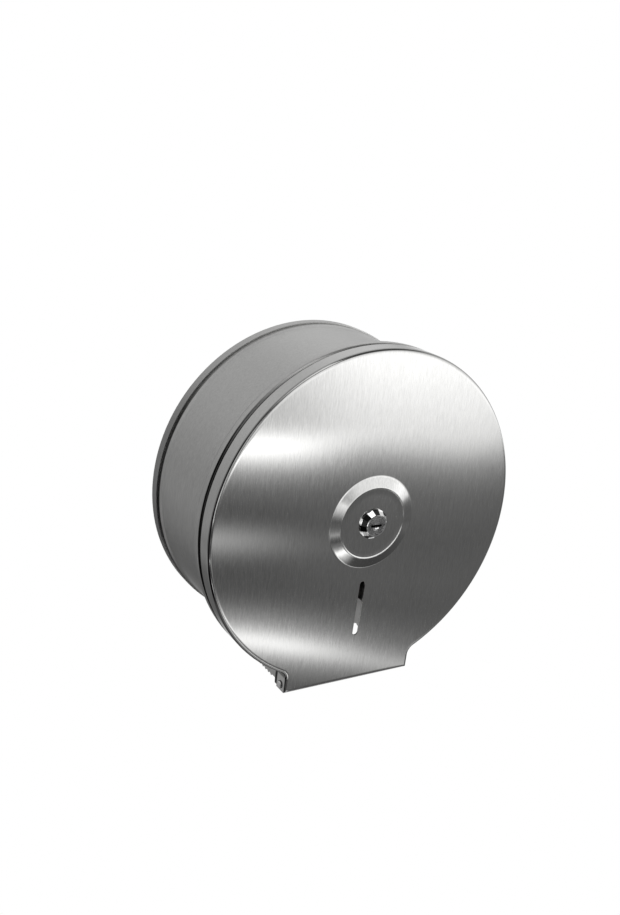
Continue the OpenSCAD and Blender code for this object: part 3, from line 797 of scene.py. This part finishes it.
# %% The bands of the room
LOW, HIGH, BRIGHTEST = -60.0, 70.0, 2.4
FAR_LEFT = [
    (-60, 0.55), (-54, 0.38), (-50, 0.30), (-44, 0.90), (-40, 1.40), (-37.8, 0.70),
    (-36, 0.28), (-32.3, 0.10), (-30, 0.20), (-27.6, 0.48), (-25, 0.26), (-22.4, 0.17),
    (-18, 0.13), (-15.5, 0.28), (-12.5, 0.66), (-9, 1.10), (-7.5, 1.25), (-5.5, 0.78),
    (-3.5, 0.60), (0, 0.70), (4, 0.95), (10, 1.3), (26, 1.2), (34, 0.12),
]
LEFT = [
    (-60, 0.55), (-54, 0.30), (-50, 0.15), (-46.5, 0.28), (-44.5, 0.50), (-42.6, 0.90),
    (-40.8, 1.90), (-39.2, 1.75), (-37.8, 0.50), (-36.5, 0.18), (-34, 0.14), (-31, 0.16),
    (-29, 0.15), (-28, 0.12), (-26.6, 0.115), (-24, 0.12), (-22.5, 0.11), (-21.3, 0.13),
    (-19.8, 0.22), (-18.5, 0.52), (-17.7, 1.20), (-16.9, 2.15), (-16.2, 2.05), (-15.5, 1.10),
    (-14.8, 0.80), (-13.5, 0.76), (-11, 1.02), (-9, 1.4), (0, 1.1), (10, 1.3), (26, 1.2),
    (34, 0.12),
]
RIGHT = [
    (-60, 0.55), (-55, 0.30), (-50, 0.07), (-38, 0.10), (-35, 0.12), (-32, 0.16), (-30, 0.16),
    (-28, 0.135), (-26, 0.15), (-23, 0.14), (-21.5, 0.155), (-19.5, 0.19), (-18.2, 0.27),
    (-17.0, 0.46), (-16.0, 0.88), (-15, 1.18), (-12, 1.45), (-9.5, 1.7), (0, 1.25), (10, 1.2),
    (24, 0.7), (34, 0.10),
]


def by_height(bands, height):
    """Brightness as a ramp over the height, with straight steps between the entries."""
    ramp = room.make("ShaderNodeValToRGB", {0: (height - LOW) / (HIGH - LOW)})
    stops = ramp.socket.node.color_ramp.elements
    while len(stops) < len(bands):
        stops.new(0.5)
    for stop, (degrees, _) in zip(stops, bands):
        stop.position = (degrees - LOW) / (HIGH - LOW)
    for stop, (_, bright) in zip(stops, bands):
        stop.color = (bright / BRIGHTEST,) * 3 + (1.0,)
    return ramp * BRIGHTEST


left = room.mix(off_axis.ramp(21.0, 11.0), by_height(LEFT, height), by_height(FAR_LEFT, height))
# the bands of the right sink as the ray turns further to the side
SINK_FROM, SINK_TO, SINK = 43.0, 62.0, 6.0
sunk = height - off_axis.ramp(SINK_FROM, SINK_TO, 0.0, SINK)
front = room.mix(off_axis.ramp(26.0, 36.0), left, by_height(RIGHT, sunk))
print("the room has", len(FAR_LEFT), len(LEFT), "and", len(RIGHT), "bands")

# %% [markdown]
# Some lights show as narrow streaks that lie aslant, which three upright lists can't follow. Each
# is a stripe whose middle moves with the angle to the side: a low strip light with its glow, a
# faint one above it, the edge where the bright bands turn, and a box of light overhead.

# %% Strips of light
# heights straight ahead, in degrees, and degrees up for each degree to the side
LOW_HEIGHT, GLOW_HEIGHT, FAINT_HEIGHT, EDGE_HEIGHT = -29.4, -29.3, -23.8, -19.3
LOW_SLOPE, EDGE_SLOPE = -0.07, 0.11
LOW_SHARE, GLOW_SHARE, EDGE_SHARE, OVERHEAD_SHARE = 0.98, 0.58, 0.35, 1.4


def stripe(middle, width):
    """A soft stripe over the height: a bell, which is e to minus the square of the distance from
    its middle over its width."""
    bell = ((height - middle) / width).power(2.0)
    return room.make("ShaderNodeMath", {0: 0.0 - bell}, operation="EXPONENT")


low_strip = stripe(off_axis * LOW_SLOPE + LOW_HEIGHT, 0.75) * LOW_SHARE
low_strip = low_strip + stripe(off_axis * LOW_SLOPE + GLOW_HEIGHT, 1.8) * GLOW_SHARE
low_strip = low_strip * off_axis.ramp(30.0, 41.0, 1.0, 0.36)
low_strip = low_strip * span(off_axis, 16.0, 24.0, 46.0, 54.0)
faint_strip = stripe(FAINT_HEIGHT, 1.1) * off_axis.ramp(22.0, 33.0, 0.48, 0.05)
faint_strip = faint_strip * span(off_axis, 14.0, 20.0, 33.0, 38.0)
turning_edge = stripe(off_axis * EDGE_SLOPE + EDGE_HEIGHT, 0.8) * EDGE_SHARE
turning_edge = turning_edge * span(off_axis, 25.0, 29.0, 32.0, 38.0)
overhead = height.ramp(44.0, 48.0) * span(aside, -62.0, -52.0, 14.0, 24.0) * OVERHEAD_SHARE
front = front + turning_edge + faint_strip + low_strip + overhead
print("at 30 degrees to the side the low strip is at", LOW_HEIGHT + LOW_SLOPE * 30, "degrees")

# %% [markdown]
# To the left the room is as dark as a black card, which the drum and the skirt mirror. An opening
# in the card keeps it out of the face. Behind the object the room is dim, and a little brighter
# above and to the sides, where light would spill round a backdrop.

# %% The dark side, and behind the object
CARD = 0.025  # brightness of the dark card
upper_card = span(aside, -100.0, -84.0, -12.0, 3.0) * height.ramp(40.0, 30.0)
lower_card = span(aside, -132.0, -118.0, -52.0, -40.0) * height.ramp(-34.0, -40.0)
dark_side = upper_card.most(lower_card) * height.ramp(-60.0, -52.0)
opening = span(aside, -54.0, -48.0, -22.0, -17.0)
dark_side = dark_side * (1.0 - opening)
behind = (
    way_z.ramp(-0.6, -0.28, 0.14, 0.35)
    + way_z.ramp(-0.2, 0.6, 0.0, 0.22)
    + way_x.ramp(-0.1, 0.5, 0.0, 0.2) * way_z.ramp(-0.1, 0.3)
    + way_x.ramp(-0.2, -0.5, 0.0, 0.25) * way_z.ramp(-0.4, -0.55)
    + way_x.ramp(0.1, 0.4, 0.0, 0.45) * way_z.ramp(0.12, -0.12)
)
seen = room.mix(way_y.ramp(-0.1, 0.15), front, behind)
seen = room.mix(dark_side, seen, CARD)
print("the dark card has a brightness of", CARD)

# %% [markdown]
# The background of the photograph is cut out in white. More light on the object would bleach it,
# so white is given to the rays that come from the camera or go through something clear, and
# diffuse light comes from all sides at a plain level, at which a colour renders as it is written.

# %% What each kind of ray sees
LEVEL, BACKDROP = 0.9, 1.0
path = room.make("ShaderNodeLightPath", out="Is Camera Ray")
glossy = room.make("ShaderNodeLightPath", out="Is Glossy Ray")
glass = room.make("ShaderNodeLightPath", out="Is Transmission Ray")
value = room.mix(glossy, LEVEL, seen)
value = room.mix(path.most(glass), value, BACKDROP)
shader = room.make("ShaderNodeBackground", {0: room.grey(value), 1: 1.0})
room.make("ShaderNodeOutputWorld", {0: shader})
print("diffuse light is", LEVEL, "and the backdrop", BACKDROP)

# %% [markdown]
# ## The floor
#
# The background is plain white. To the camera the floor is as white as the room. Reflections pass
# through it, because the bands below the horizon are already in the lists. To all other light it
# is a matt, pale floor.

# %% The floor
FLOOR_Z, FLOOR_R = -0.42, 4.0  # metres
corners = [(x * FLOOR_R, y * FLOOR_R, FLOOR_Z) for x, y in ((-1, -1), (1, -1), (1, 1), (-1, 1))]
mesh = bpy.data.meshes.new("floor")
mesh.from_pydata(corners, [], [(0, 1, 2, 3)])
floor = bpy.data.objects.new("floor", mesh)
scene.collection.objects.link(floor)
paint, tree = finish_of("floor")
camera_ray = tree.make("ShaderNodeLightPath", out="Is Camera Ray")
glossy_ray = tree.make("ShaderNodeLightPath", out="Is Glossy Ray")
matt = tree.make("ShaderNodeBsdfDiffuse", {0: (0.75, 0.75, 0.75, 1.0)})
white = tree.make("ShaderNodeEmission", {0: (1, 1, 1, 1), 1: 1.0})
clear = tree.make("ShaderNodeBsdfTransparent", {0: (1, 1, 1, 1)})
shader = tree.make("ShaderNodeMixShader", {0: camera_ray, 1: matt, 2: white})
shader = tree.make("ShaderNodeMixShader", {0: glossy_ray, 1: shader, 2: clear})
tree.make("ShaderNodeOutputMaterial", {0: shader})
mesh.materials.append(paint)
print("the floor lies", -FLOOR_Z, "m under the drum's axis")

# %% [markdown]
# ## The camera
#
# A camera can be moved by hand until the edges meet, or worked out. Points of the cover's
# outline, the drum's rims, the ring, the slot and the spout were marked in the photograph, and
# the camera's place, turn and lens were fitted to them by least squares. The turn is written as
# an axis whose length is the angle.

# %% The camera
SENSOR, LENS = 36.0, 38.639  # millimetres
EYE = (-0.403561, -0.647175, 0.267776)
TURN = np.array([1.1832, -0.4253, -0.3929])
eye = bpy.data.cameras.new("camera")
eye.sensor_width = SENSOR
eye.lens = LENS
camera = bpy.data.objects.new("camera", eye)
camera.location = EYE
angle = float(np.linalg.norm(TURN))
camera.rotation_mode = "AXIS_ANGLE"
camera.rotation_axis_angle = (angle, *(TURN / angle))
scene.collection.objects.link(camera)
scene.camera = camera
scene.view_settings.view_transform = "Standard"
print("the camera stands", round(float(np.linalg.norm(EYE)), 3), "m from the origin")
